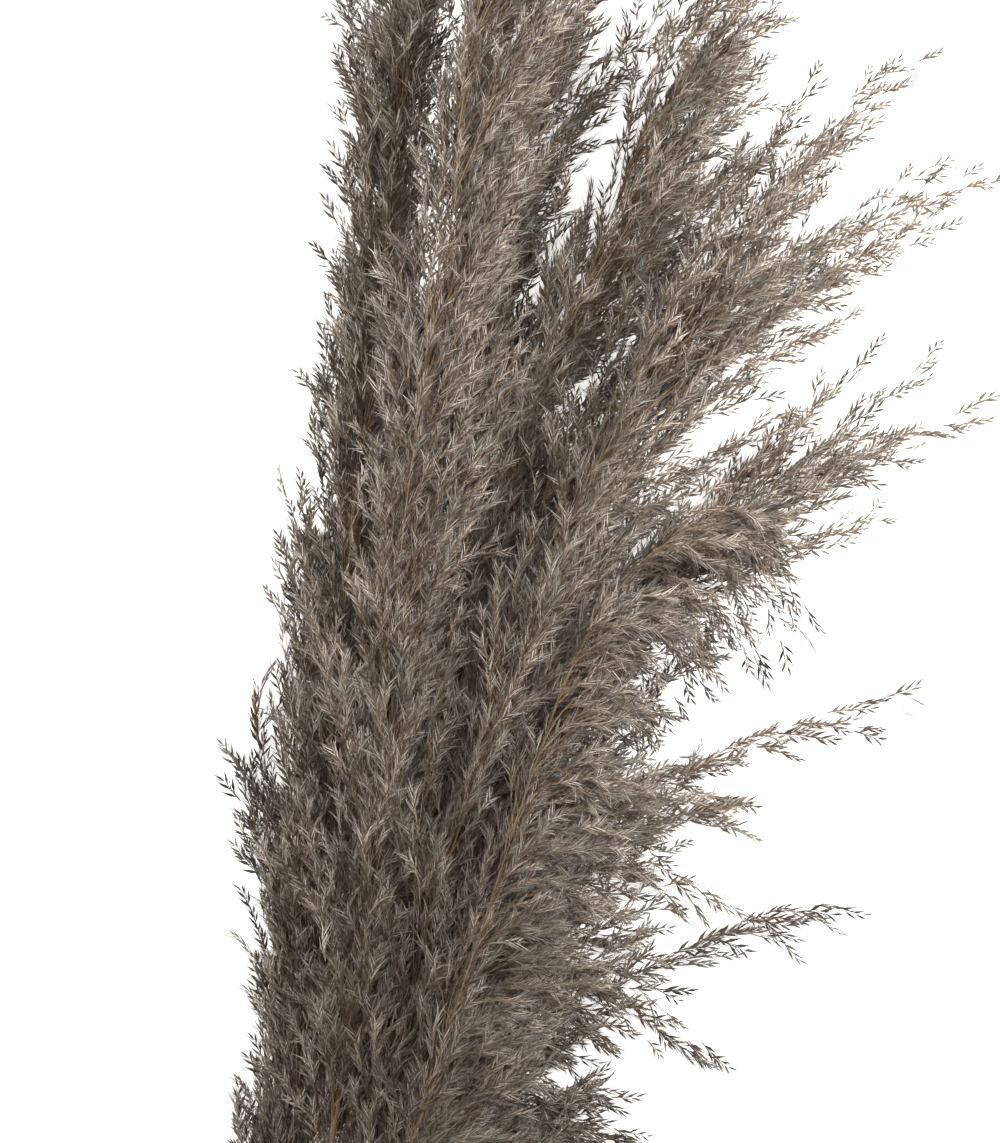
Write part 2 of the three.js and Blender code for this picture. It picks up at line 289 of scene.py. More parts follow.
def model_blade(half_width, thickness, widest):
    """A closed blade of length 1 along +Y, flat in the XY plane and widest at a share of its length.

    Its thickness is given as a share of what an even triangle would have.
    """
    nothing_selected()
    corner = half_width / math.cos(math.radians(30))
    bpy.ops.mesh.primitive_cone_add(
        vertices=3,
        radius1=corner,
        depth=1 - widest,
        rotation=(-math.pi / 2, 0, 0),
        location=(0, (1 + widest) / 2, 0),
    )
    blade = bpy.context.object
    bpy.ops.object.transform_apply(location=True, rotation=True, scale=True)
    bpy.ops.object.mode_set(mode="EDIT")
    bpy.ops.mesh.select_mode(type="VERT")
    bpy.ops.mesh.select_all(action="DESELECT")
    bpy.ops.object.mode_set(mode="OBJECT")
    for vertex in blade.data.vertices:
        vertex.select = vertex.co.z < -corner / 2
    bpy.ops.object.mode_set(mode="EDIT")
    bpy.ops.transform.translate(value=(0, -widest, corner))
    bpy.ops.mesh.select_all(action="SELECT")
    bpy.ops.transform.resize(value=(1, 1, thickness), center_override=(0, 0, 0))
    bpy.ops.object.mode_set(mode="OBJECT")
    return take_shape(blade)


FLORET_LENGTH, FLORET_HALF_WIDTH, FLORET_THICKNESS, FLORET_WIDEST = 10.0, 0.85, 0.7, 0.38
HAIR_LENGTH, HAIR_HALF_WIDTH, HAIR_THICKNESS, HAIR_WIDEST = 10.5, 0.26, 0.5, 0.15
floret_shape = model_blade(FLORET_HALF_WIDTH / FLORET_LENGTH, FLORET_THICKNESS, FLORET_WIDEST)
hair_shape = model_blade(HAIR_HALF_WIDTH / HAIR_LENGTH, HAIR_THICKNESS, HAIR_WIDEST)
print("floret:", floret_shape[0].round(3).tolist())

# %% [markdown]
# ## The spikelet
#
# A spikelet is a fishbone: florets alternate left and right along a short axis, each held at an angle.
# Young ones are closed and narrow, ripe ones open. Three forms are enough for variety, because each one is
# also turned, bent and resized when it is placed. All three lie nearly flat in the XY plane and point along
# +Y, in millimetres.

# %% Spikelet forms
FLORETS, FLORET_STEP, FLORET_SHRINK, FLORET_CLOSING, FLORET_LIFT = 5, 2.8, 0.06, 0.1, 0.1
HAIRS, HAIR_STEP, HAIR_OPENING, HAIR_TURN, HAIR_LIFT = 7, 1.82, 0.3, 4.5, 0.9
FOOT_LENGTH = 4.0
OPENINGS = (34, 26, 17)


def turned(shape, length, angle, lift, start, hair):
    """A shape at a length, turned by angle in the plane and by lift out of it, with its foot at start."""
    corners, triangles = shape
    sine, cosine = math.sin(angle), math.cos(angle)
    turn = np.array([[cosine, -sine, 0], [sine, cosine, 0], [0, 0, 1]])
    sine, cosine = math.sin(lift), math.cos(lift)
    tip = np.array([[1, 0, 0], [0, cosine, -sine], [0, sine, cosine]])
    grain = np.stack([corners[:, 1], np.full(len(corners), hair)], -1)
    return length * corners @ (turn @ tip).T + [0, start, 0], triangles, grain


def joined(*parts):
    """Several sets of corners, triangles and grain as one."""
    starts = np.cumsum([0] + [len(part[0]) for part in parts])
    return (
        np.concatenate([part[0] for part in parts]),
        np.concatenate([part[1] + start for part, start in zip(parts, starts)]),
        np.concatenate([part[2] for part in parts]),
    )


def spikelet_form(opening):
    """Corners and triangles of a spikelet, and each corner's share along its blade and hair mark."""
    blades = [turned(hair_shape, FOOT_LENGTH + FLORETS * FLORET_STEP, 0, 0, -FOOT_LENGTH, 0)]
    for i in range(FLORETS):
        side = 1 if i % 2 else -1
        angle = -side * math.radians(opening * (1 - FLORET_CLOSING * i))
        length = FLORET_LENGTH * (1 - FLORET_SHRINK * i)
        blades.append(turned(floret_shape, length, angle, FLORET_LIFT * side, i * FLORET_STEP, 0))
    for i in range(HAIRS):
        side = 1 if i % 2 else -1
        angle = -side * math.radians(opening * HAIR_OPENING + HAIR_TURN * i)
        lift = HAIR_LIFT * ((i + 0.5) / HAIRS - 0.5)
        blades.append(turned(hair_shape, HAIR_LENGTH, angle, lift, i * HAIR_STEP, 1))
    return joined(*blades)


FORMS = [spikelet_form(opening) for opening in OPENINGS]
print("faces in a spikelet:", [len(form[1]) for form in FORMS])

# %% [markdown]
# ## How the plumes lie
#
# Each plume is ruled by its axis. Four points in millimetres from the tie fix it: the plume's foot, two
# places on the way, and its tip. The other values say how its long branches stand on it: the reach of the
# longest in millimetres, the angle at which the lowest ones open from the axis, how far round the axis they
# fan on either side of the way the plumes nod, and how much a branch near the tip sags, as a share of its
# length. A high straggle makes long ones rare, and the spacing of branches is in millimetres.
#
# The first three plumes lie on the table, the next four on them, then three more, and one nods over the
# top.

# %% Plume axes
PLUMES = [
    {
        "axis": [(-50, 253, 42), (-30, 390, 22), (-22, 490, 13), (-12, 605, 11)],
        "reach": 230, "open": 20, "fan": 180, "sag": (0.1, 0, -0.06), "straggle": 2.6, "spacing": 4.1,
    },
    {
        "axis": [(3, 286, 42), (24, 478, 22), (50, 665, 13), (88, 910, 11)],
        "reach": 225, "open": 24, "fan": 150, "sag": (0.16, 0, -0.04), "straggle": 1.3, "spacing": 5.2,
    },
    {
        "axis": [(42, 231, 40), (47, 292, 22), (54, 332, 14), (70, 362, 13)],
        "reach": 250, "open": 28, "fan": 100, "sag": (0.45, -1.0, 0), "straggle": 3.2, "spacing": 4.3,
    },
    {
        "axis": [(-34, 297, 72), (-17, 478, 68), (3, 687, 60), (33, 940, 52)],
        "reach": 230, "open": 16, "fan": 180, "sag": (-0.03, 0, 0), "straggle": 1.6, "spacing": 5.1,
    },
    {
        "axis": [(2, 297, 74), (34, 506, 60), (88, 705, 56), (166, 918, 52)],
        "reach": 225, "open": 27, "fan": 150, "sag": (0.16, -0.06, -0.04), "straggle": 1.0, "spacing": 5.3,
    },
    {
        "axis": [(22, 280, 74), (58, 451, 68), (114, 586, 60), (188, 682, 52)],
        "reach": 228, "open": 29, "fan": 120, "sag": (0.12, -0.02, -0.04), "straggle": 1.2, "spacing": 6.4,
    },
    {
        "axis": [(38, 253, 70), (48, 330, 50), (56, 392, 42), (74, 444, 38)],
        "reach": 440, "open": 30, "fan": 100, "sag": (0.38, -0.72, -0.06), "straggle": 4.0, "spacing": 4.4,
    },
    {
        "axis": [(-13, 308, 104), (12, 500, 112), (36, 726, 106), (72, 975, 92)],
        "reach": 180, "open": 24, "fan": 150, "sag": (0.12, 0, -0.1), "straggle": 1.1, "spacing": 4.9,
    },
    {
        "axis": [(11, 292, 106), (49, 490, 114), (106, 664, 101), (190, 812, 82)],
        "reach": 255, "open": 30, "fan": 130, "sag": (0.16, 0, -0.12), "straggle": 0.9, "spacing": 5.5,
    },
    {
        "axis": [(30, 270, 102), (48, 380, 96), (68, 458, 88), (98, 524, 80)],
        "reach": 330, "open": 30, "fan": 100, "sag": (0.4, -0.3, -0.28), "straggle": 2.8, "spacing": 5.8,
    },
    {
        "axis": [(17, 297, 130), (67, 450, 132), (130, 630, 123), (190, 700, 104)],
        "reach": 90, "open": 26, "fan": 140, "sag": (0.2, -0.85, -0.3), "straggle": 1.3, "spacing": 7.2,
    },
]
AXIS_SAMPLES = 200


def unit(vectors):
    return vectors / np.linalg.norm(vectors, axis=-1, keepdims=True)


class Axis:
    """A smooth curve through a few points, read by the share of its length that lies behind."""

    def __init__(self, points):
        points = np.array(points, float)
        ends = [2 * points[0] - points[1], *points, 2 * points[-1] - points[-2]]
        t = np.linspace(0, 1, AXIS_SAMPLES)[:, None]
        spans = []
        for before, start, end, after in zip(ends, ends[1:], ends[2:], ends[3:]):
            leave, arrive = (end - before) / 2, (after - start) / 2
            spans.append(
                (2 * t**3 - 3 * t**2 + 1) * start
                + (t**3 - 2 * t**2 + t) * leave
                + (3 * t**2 - 2 * t**3) * end
                + (t**3 - t**2) * arrive
            )
        self.points = np.concatenate([spans[0], *(span[1:] for span in spans[1:])])
        steps = np.linalg.norm(np.diff(self.points, axis=0), axis=1)
        self.length = steps.sum()
        self.shares = np.concatenate([[0], np.cumsum(steps)]) / self.length

    def at(self, share):
        return np.stack([np.interp(share, self.shares, self.points[:, i]) for i in range(3)], -1)

    def heading(self, share):
        return unit(self.at(np.minimum(share + 0.01, 1)) - self.at(np.maximum(share - 0.01, 0)))


axes = [Axis(plume["axis"]) for plume in PLUMES]
print("axis lengths, mm:", [round(axis.length) for axis in axes])

# %% [markdown]
# ## Growing the branches
#
# Branches leave the axis at a narrow angle and then bend over, the way the plume nods and by their own
# weight. Their course is a parabola: a straight heading, plus a bend that grows with the square of the
# distance. Between the long branches stand short ones all round the axis, which cover it. The same rule
# then grows the twigs along each branch. What would sink into the table is eased up to lie on it.

# %% Branch growth
BRANCH_FIRST, COVER_FIRST = 0.02, 0.004
BRANCH_OPENING, TIP_OPENING = (0.15, 1.15), 0.8
SHORTEST, TIP_REACH = 45.0, 0.68
COVER_SHARE, COVER_LENGTH, COVER_OPENING = 0.65, (18, 55), (0.3, 1.3)
TWIG_FIRST = 0.22
TWIG_SPACING, SPACED_LENGTHS = (7.5, 13), (40, 220)
TWIG_LENGTH, TWIG_SCALE, TWIG_SHRINK = (20, 52), 1.1, 0.5
TWIG_OPENING, TWIG_CLOSING = (8, 24), 0.5
TWIG_TURN, TWIG_TURN_SPREAD, TWIG_BEND = 2.4, 0.6, 0.5
SPIKELET_SPACING = 13.0
FLATNESS, COVER_FLATNESS = 0.4, 0.65
WEIGHT = 0.12
SAG_SPREAD, BEND_SPREAD, TWIG_BEND_SPREAD = (0.5, 1.5), (0.05, 0.05, 0.03), 0.12
FLOOR_LOW, FLOOR_EASE = 0.5, 5.0
UP = np.array([0.0, 0.0, 1.0])


def eased(points):
    """Points that would lie under the table or close above it, eased up on to it."""
    room = FLOOR_EASE - FLOOR_LOW
    low = FLOOR_LOW + room * np.exp((np.minimum(points[..., 2], FLOOR_EASE) - FLOOR_EASE) / room)
    points[..., 2] = np.where(points[..., 2] < FLOOR_EASE, low, points[..., 2])
    return points


def opened(headings, opening, azimuth, flatness=FLATNESS):
    """Headings turned away from their course by opening, towards azimuth round it, all in radians."""
    across = unit(np.cross(headings, UP))
    above = np.cross(across, headings)
    out = np.cos(azimuth)[:, None] * across + (flatness * np.sin(azimuth))[:, None] * above
    return unit(np.cos(opening)[:, None] * headings + np.sin(opening)[:, None] * out)


class Branches:
    """Many parabolas at once: where each starts, its heading, its bend and its length."""

    def __init__(self, starts, headings, bends, lengths):
        self.starts, self.headings, self.bends, self.lengths = starts, headings, bends, lengths

    def at(self, which, share):
        run = self.lengths[which] * share
        return (
            self.starts[which]
            + self.headings[which] * run[:, None]
            + self.bends[which] * (run * share)[:, None]
        )

    def course(self, which, share):
        return unit(self.headings[which] + 2 * self.bends[which] * share[:, None])

    def paths(self, steps):
        """Points along every branch, as an array of branches by steps + 1 by 3."""
        which = np.arange(len(self.lengths))
        return np.stack([self.at(which, np.full(len(which), i / steps)) for i in range(steps + 1)], 1)


def grow_branches(plume, axis, chance):
    long = round(axis.length / plume["spacing"])
    short = round(COVER_SHARE * long)
    share = np.concatenate([np.linspace(BRANCH_FIRST, 1, long), np.linspace(COVER_FIRST, 1, short)])
    count, cover = long + short, np.arange(long + short) >= long
    headings = axis.heading(share)
    opening = np.radians(plume["open"]) * (1 + (TIP_OPENING - 1) * share)
    opening = opening * chance.uniform(*BRANCH_OPENING, count)
    opening = np.where(cover, np.radians(plume["open"] * chance.uniform(*COVER_OPENING, count)), opening)
    azimuth = np.radians(np.where(cover, 180, plume["fan"])) * chance.uniform(-1, 1, count)
    longest = plume["reach"] * (1 + (TIP_REACH - 1) * share)
    reach = SHORTEST + (longest - SHORTEST) * chance.uniform(0, 1, count) ** plume["straggle"]
    reach = np.where(cover, chance.uniform(*COVER_LENGTH, count), reach)
    bends = plume["sag"] * (share * chance.uniform(*SAG_SPREAD, count))[:, None]
    bends += chance.normal(0, BEND_SPREAD, (count, 3)) - WEIGHT * UP
    headings = opened(headings, opening, azimuth, np.where(cover, COVER_FLATNESS, FLATNESS))
    return Branches(axis.at(share), headings, bends, reach)


def grow_twigs(branches, chance):
    spacing = np.interp(branches.lengths, SPACED_LENGTHS, TWIG_SPACING)
    per_branch = np.maximum(2, (branches.lengths / spacing).astype(int))
    which = np.repeat(np.arange(len(per_branch)), per_branch)
    order = np.concatenate([np.arange(n) for n in per_branch])
    share = TWIG_FIRST + (1 - TWIG_FIRST) * (order + 1) / per_branch[which]
    heading = branches.course(which, share)
    opening = np.radians(chance.uniform(*TWIG_OPENING, len(which))) * (1 - TWIG_CLOSING * share)
    azimuth = order * TWIG_TURN + chance.uniform(-TWIG_TURN_SPREAD, TWIG_TURN_SPREAD, len(which))
    lengths = chance.uniform(*TWIG_LENGTH, len(which)) * (TWIG_SCALE - TWIG_SHRINK * share)
    bends = TWIG_BEND * branches.bends[which] + chance.normal(0, TWIG_BEND_SPREAD, (len(which), 3))
    return Branches(branches.at(which, share), opened(heading, opening, azimuth), bends, lengths)


# %% [markdown]
# ## Setting spikelets on the twigs
#
# Spikelets sit along each twig on alternate sides, and one ends it. Each is turned a little away from the
# twig, rolled about its own length, bent both ways and resized. The placing is arithmetic on whole arrays,
# because there are tens of thousands of them.

# %% Spikelet placing
SPIKELET_SIZE = (0.8, 1.15)
SPIKELET_OPENING, LAST_OPENING = (4, 20), 0.2
SPIKELET_TURN_SPREAD, SPIKELET_ROLL = 0.9, 0.6
SPIKELET_BEND, SPIKELET_SWAY = 0.025, 0.012
SPIKELET_LENGTH = FLORETS * FLORET_STEP + FLORET_LENGTH


class Spikelets:
    """Places, courses, sizes and tones of many spikelets."""

    def __init__(self, twigs, chance):
        per_twig = np.maximum(1, np.round(twigs.lengths / SPIKELET_SPACING).astype(int))
        which = np.repeat(np.arange(len(per_twig)), per_twig)
        order = np.concatenate([np.arange(n) for n in per_twig])
        share = (order + 1) / per_twig[which]
        last = share == 1
        count = len(which)
        opening = np.radians(chance.uniform(*SPIKELET_OPENING, count)) * np.where(last, LAST_OPENING, 1)
        azimuth = order * math.pi + chance.uniform(-SPIKELET_TURN_SPREAD, SPIKELET_TURN_SPREAD, count)
        self.places = eased(twigs.at(which, share))
        self.courses = opened(twigs.course(which, share), opening, azimuth)
        steepest = (FLOOR_LOW - self.places[:, 2]) / SPIKELET_LENGTH
        self.courses[:, 2] = np.maximum(self.courses[:, 2], steepest)
        self.courses = unit(self.courses)
        self.sizes = chance.uniform(*SPIKELET_SIZE, count)
        self.rolls = chance.normal(0, SPIKELET_ROLL, count)
        self.bends = chance.uniform(-SPIKELET_BEND, SPIKELET_BEND, count)
        self.sways = chance.uniform(-SPIKELET_SWAY, SPIKELET_SWAY, count)
        self.tones = chance.uniform(0, 1, count)
        self.forms = chance.integers(0, len(FORMS), count)

    def mesh(self):
        """All of them as one set of corners, triangles and grain."""
        across = unit(np.cross(self.courses, UP))
        above = np.cross(across, self.courses)
        roll = self.rolls[:, None]
        side = np.cos(roll) * across + np.sin(roll) * above
        face = np.cos(roll) * above - np.sin(roll) * across
        corners, triangles, grain, total = [], [], [], 0
        for form, (shape, faces, marks) in enumerate(FORMS):
            mine = self.forms == form
            size = self.sizes[mine, None, None]
            bent = shape[None, :, 2] + self.bends[mine, None] * shape[None, :, 1] ** 2
            swayed = shape[None, :, 0] + self.sways[mine, None] * shape[None, :, 1] ** 2
            placed = (
                self.places[mine, None]
                + size * side[mine, None] * swayed[..., None]
                + size * self.courses[mine, None] * shape[None, :, 1:2]
                + size * face[mine, None] * bent[..., None]
            )
            sunk = FLOOR_LOW - placed[..., 2].min(1, keepdims=True)
            placed[..., 2] += np.maximum(sunk, 0)
            number, each = placed.shape[:2]
            corners.append(placed.reshape(-1, 3))
            starts = total + np.arange(number) * each
            triangles.append((faces[None] + starts[:, None, None]).reshape(-1, 3))
            tones = np.repeat(self.tones[mine], each)
            grain.append(np.c_[tones, np.tile(marks, (number, 1))])
            total += number * each
        return np.concatenate(corners), np.concatenate(triangles), np.concatenate(grain)


# %% [markdown]
# ## Tubes for branches and twigs
#
# A branch is a thin tapering tube. Its rings are found for all branches at once, with as few sides as its
# thickness on the picture allows: three for a branch or twig, eight for a plume's axis.

# %% Tubes
def tubes(paths, radii, sides, tones):
    """Closed tubes along paths, an array of tubes by points by 3, with a radius for each point."""
    courses = unit(np.gradient(paths, axis=1))
    across = unit(np.cross(courses, UP))
    above = np.cross(across, courses)
    number, points = paths.shape[:2]
    angles = np.arange(sides) / sides * 2 * math.pi
    rings = (
        paths[:, :, None]
        + radii[:, :, None, None] * np.cos(angles)[:, None] * across[:, :, None]
        + radii[:, :, None, None] * np.sin(angles)[:, None] * above[:, :, None]
    )
    faces = []
    for i in range(points - 1):
        for j in range(sides):
            a, b = i * sides + j, i * sides + (j + 1) % sides
            faces += [(a, b, b + sides), (a, b + sides, a + sides)]
    last = (points - 1) * sides
    for j in range(1, sides - 1):
        faces += [(0, j + 1, j), (last, last + j, last + j + 1)]
    each = points * sides
    triangles = (np.array(faces)[None] + (np.arange(number) * each)[:, None, None]).reshape(-1, 3)
    along = np.tile(np.repeat(np.linspace(0, 1, points), sides), number)
    grain = np.stack([np.repeat(tones, each), along, 0 * along], -1)
    return rings.reshape(-1, 3), triangles, grain


# %% [markdown]
# ## From arrays to pieces
#
# Arrays become a mesh in one go through foreach_set, which is far faster than adding faces one by one. Here
# millimetres from the tie also become metres in the frame.

# %% Piece maker
def make_piece(name, corners, triangles, grain, material, smooth):
    mesh = bpy.data.meshes.new(name)
    mesh.vertices.add(len(corners))
    mesh.vertices.foreach_set("co", (corners * MM + HOME).astype(np.float32).ravel())
    mesh.loops.add(triangles.size)
    mesh.loops.foreach_set("vertex_index", triangles.astype(np.int32).ravel())
    mesh.polygons.add(len(triangles))
    mesh.polygons.foreach_set("loop_start", np.arange(0, triangles.size, 3, dtype=np.int32))
    mesh.polygons.foreach_set("use_smooth", np.full(len(triangles), smooth))
    mesh.update(calc_edges=True)
    colours = mesh.attributes.new("grain", "FLOAT_COLOR", "POINT")
    colours.data.foreach_set("color", np.c_[grain, np.ones(len(grain))].astype(np.float32).ravel())
    mesh.materials.append(material)
    piece = bpy.data.objects.new(name, mesh)
    bpy.context.scene.collection.objects.link(piece)
    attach(piece, "root")
    return piece


# %% [markdown]
# ## The eleven plumes
#
# Each plume becomes two pieces: the straw of its axis, branches and twigs, and the spikelets on them. The
# foot of the axis is as thick as the cane that it grows from. Every plume has its own seed, so a change to
# one leaves the others as they are.

# %% Plumes
AXIS_RADIUS, AXIS_FOOT_RADIUS, AXIS_FOOT_SHARE = (0.55, 0.2), 2.2, 0.08
BRANCH_RADIUS, TWIG_RADIUS = (0.3, 0.13), (0.13, 0.08)
AXIS_STEPS, BRANCH_STEPS, TWIG_STEPS = 40, 6, 2
AXIS_CROWDING = 1.6
AXIS_SIDES, BRANCH_SIDES = 8, 3
AXIS_TONE, BRANCH_TONES, TWIG_TONES = 0.45, (0, 1), (0.2, 1)


def tapered(number, steps, radius):
    return np.tile(np.linspace(*radius, steps + 1), (number, 1))


def branch_tubes(branches, steps, radius, tones):
    number = len(branches.lengths)
    return tubes(eased(branches.paths(steps)), tapered(number, steps, radius), BRANCH_SIDES, tones)


def make_plume(index):
    plume, axis, node = PLUMES[index - 1], axes[index - 1], f"plume_{index}"
    chance = np.random.default_rng(index)
    branches = grow_branches(plume, axis, chance)
    twigs = grow_twigs(branches, chance)
    spikelets = Spikelets(twigs, chance)
    share = np.linspace(0, 1, AXIS_STEPS + 1) ** AXIS_CROWDING
    thick = AXIS_RADIUS[0] + (AXIS_RADIUS[1] - AXIS_RADIUS[0]) * share
    thick += (AXIS_FOOT_RADIUS - AXIS_RADIUS[0]) * np.exp(-share / AXIS_FOOT_SHARE)
    branch_tones = chance.uniform(*BRANCH_TONES, len(branches.lengths))
    twig_tones = chance.uniform(*TWIG_TONES, len(twigs.lengths))
    straw = joined(
        tubes(axis.at(share)[None], thick[None], AXIS_SIDES, np.array([AXIS_TONE])),
        branch_tubes(branches, BRANCH_STEPS, BRANCH_RADIUS, branch_tones),
        branch_tubes(twigs, TWIG_STEPS, TWIG_RADIUS, twig_tones),
    )
    silk = spikelets.mesh()
    for name, part, material in ((f"{node}_straw", straw, plume_straw), (f"{node}_silk", silk, plume_silk)):
        piece = make_piece(name, part[0], part[1], part[2], material, part is straw)
        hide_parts(node)
    return len(spikelets.sizes), len(silk[1]), len(straw[1])


made = [make_plume(index) for index in range(1, len(PLUMES) + 1)]
print("spikelets, their faces, straw faces of each plume:", made)
print("in all", sum(m[0] for m in made), "spikelets and", sum(m[1] + m[2] for m in made), "faces")

# %% [markdown]
# ## The canes
#
# Below its plume the stem is a smooth round cane with a knee here and there, and above each knee an old
# leaf sheath still hugs it. The canes stand side by side in the tie like round bars, then spread to their
# plumes. A curve is the quickest way to such a bar: it is swept round, with a radius at every point, and
# turned into a mesh. Knees and sheaths are then raised out of it, and its cut end is inset, as a rim round
# dry pith.

# %% Cane courses
CANE_PITCH = 6.5
CANE_RADIUS = (3.0, 2.3)
CUT_Y, CUT_STAGGER = -178.0, 16.0
STRAIGHT_UNTIL_Y = 14.0
TURN_PART = 0.36
TWINE_WIDTH = 2.2
SEAT_GAP = 0.3
SEATS = [
    (-1, 0), (0, 0), (1, 0), (-1.5, 1), (-0.5, 1), (0.5, 1), (1.5, 1), (-1, 2), (0, 2), (1, 2), (0.5, 3),
]
STRAIGHT_STEPS, BEND_STEPS = 60, 40
GOLDEN_SHARE = 0.618034
first_row = TWINE_WIDTH + SEAT_GAP + CANE_RADIUS[0]
row_height = CANE_PITCH * math.sin(math.radians(60))
seats = np.array([(column * CANE_PITCH, 0, first_row + row * row_height) for column, row in SEATS])


def evenly(number, start=0):
    """An even spread of numbers from 0 to 1, the same in every run."""
    return (number * GOLDEN_SHARE + start) % 1


def cane_course(index):
    """Points from the cut end straight through the tie, then in a soft bend to the foot of the plume."""
    seat, axis = seats[index - 1], axes[index - 1]
    cut_y = CUT_Y + CUT_STAGGER * evenly(index - 1)
    cut = np.array([seat[0], cut_y, seat[2] - TWINE_WIDTH - SEAT_GAP])
    turn = np.array([seat[0], STRAIGHT_UNTIL_Y, seat[2]])
    foot, course = axis.at(np.array([0.0])), axis.heading(np.array([0.0]))
    foot = foot[0] - SEAT_GAP * course[0]
    handle = TURN_PART * np.linalg.norm(foot - turn)
    t = np.linspace(0, 1, BEND_STEPS + 1)[1:, None]
    leave, arrive = turn + [0, handle, 0], foot - handle * course[0]
    bend = (1 - t) ** 3 * turn + 3 * (1 - t) ** 2 * t * leave + 3 * (1 - t) * t**2 * arrive + t**3 * foot
    t = np.linspace(0, 1, STRAIGHT_STEPS + 1)[:, None]
    return np.concatenate([(1 - t) * cut + t * turn, bend])


def run_along(course):
    """The distance of each point of a course from its start."""
    return np.concatenate([[0], np.cumsum(np.linalg.norm(np.diff(course, axis=0), axis=1))])


print("cane lengths, mm:", [round(run_along(cane_course(index))[-1]) for index in range(1, len(SEATS) + 1)])

# %% [markdown]
# A cane is pale straw or brown, with fine streaks along it and darker blotches. Its sheaths are paler and
# duller than the bare cane, and its knees are dark. Where these are stands in the piece's "grain" again.

# %% Cane finish
CANE_PALE = linear("#b59f76")
CANE_BROWN = linear("#7d6546")
CANE_DARK = linear("#4f3d29")
SHEATH_PALE = linear("#c9b58f")
PITH = linear("#cfc0a0")


def cane_finish():
    finish = Finish("cane_straw")
    tone, sheath, knee = finish.grain()
    streaks = finish.ramp(finish.noise(700, 3, (1, 0.02, 1)), (0.35, BLACK), (0.65, WHITE))
    blotches = finish.ramp(finish.noise(45, 3, (1, 0.25, 1)), (0.45, BLACK), (0.7, WHITE))
    bare = finish.mix(CANE_PALE, CANE_BROWN, tone)
    bare = finish.mix(bare, CANE_DARK, streaks * 0.35)
    husk = finish.mix(SHEATH_PALE, CANE_BROWN, streaks * 0.6)
    colour = finish.mix(bare, husk, sheath)
    colour = finish.mix(colour, CANE_DARK, blotches * 0.5)
    colour = finish.mix(colour, CANE_DARK, knee * 0.8)
    relief = finish.relief(streaks, 0.4)
    return finish.close({"Base Color": colour, "Roughness": sheath * 0.3 + 0.38, "Normal": relief})


def pith_finish():
    finish = Finish("cane_pith")
    pores = finish.noise(1800, 2)
    return finish.close({"Base Color": finish.mix(PITH, CANE_BROWN, pores * 0.8), "Roughness": 0.95})


cane_straw, cane_pith = cane_finish(), pith_finish()

# %% [markdown]
# The sweep is one helper, because the twine needs it too: it takes any number of courses with a radius for
# each of their points, all in millimetres.

# %% Swept bars
def swept(name, courses, roundness, materials, node):
    """Round bars along courses, a list of points and radii, as one mesh that takes the node's place."""
    curve = bpy.data.curves.new(name, "CURVE")
    curve.dimensions = "3D"
    curve.bevel_depth, curve.bevel_resolution, curve.use_fill_caps = MM, roundness, True
    for points, radii in courses:
        spline = curve.splines.new("POLY")
        spline.points.add(len(points) - 1)
        spline.points.foreach_set("co", np.c_[points * MM + HOME, np.ones(len(points))].ravel())
        spline.points.foreach_set("radius", radii)
    piece = bpy.data.objects.new(name, curve)
    bpy.context.scene.collection.objects.link(piece)
    nothing_selected()
    piece.select_set(True)
    bpy.context.view_layer.objects.active = piece
    bpy.ops.object.convert(target="MESH")
    piece = bpy.context.object
    for material in materials:
        piece.data.materials.append(material)
    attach(piece, "root")
    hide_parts(node)
    return piece


# %% Canes
CANE_STEP, CANE_ROUNDNESS = 1.2, 5
KNEES = (-104, 92)
KNEE_STAGGER, KNEE_START = 40.0, 0.754878
KNEE_RISE, KNEE_HALF = 0.3, 1.4
SHEATH_RISE, SHEATH_LENGTH, SHEATH_SLANT = 0.14, 62.0, 4.0
TONE_START = 0.2
PITH_RIM, PITH_DEPTH = 0.8, 0.3


def dress_cane(cane, index):
    """Raises the knees and sheaths out of the bar, and marks them in the "grain" that its finish reads."""
    mesh = cane.data
    corners, normals = np.zeros((len(mesh.vertices), 3)), np.zeros((len(mesh.vertices), 3))
    mesh.vertices.foreach_get("co", corners.ravel())
    mesh.vertices.foreach_get("normal", normals.ravel())
    shift = KNEE_STAGGER * (evenly(index - 1, KNEE_START) - 0.5)
    slant = SHEATH_SLANT * (normals @ unit(np.array([math.cos(index), 0, math.sin(index)])))
    sheath, knee = np.zeros(len(corners)), np.zeros(len(corners))
    for y in KNEES:
        past = (corners[:, 1] - HOME[1]) / MM - y - shift
        knee += np.exp(-((past / KNEE_HALF) ** 2))
        sheath += (past > 0) & (past < SHEATH_LENGTH + slant)
    corners += (KNEE_RISE * knee + SHEATH_RISE * sheath)[:, None] * MM * normals
    mesh.vertices.foreach_set("co", corners.ravel())
    ones = np.ones(len(corners))
    grain = np.stack([evenly(index, TONE_START) * ones, sheath, knee, ones], -1)
    marks = mesh.attributes.new("grain", "FLOAT_COLOR", "POINT")
    marks.data.foreach_set("color", grain.astype(np.float32).ravel())
    mesh.update()


def refined(course, step):
    """The same course with points at an even step."""
    behind = run_along(course)
    places = np.linspace(0, behind[-1], round(behind[-1] / step) + 1)
    return np.stack([np.interp(places, behind, course[:, i]) for i in range(3)], -1)


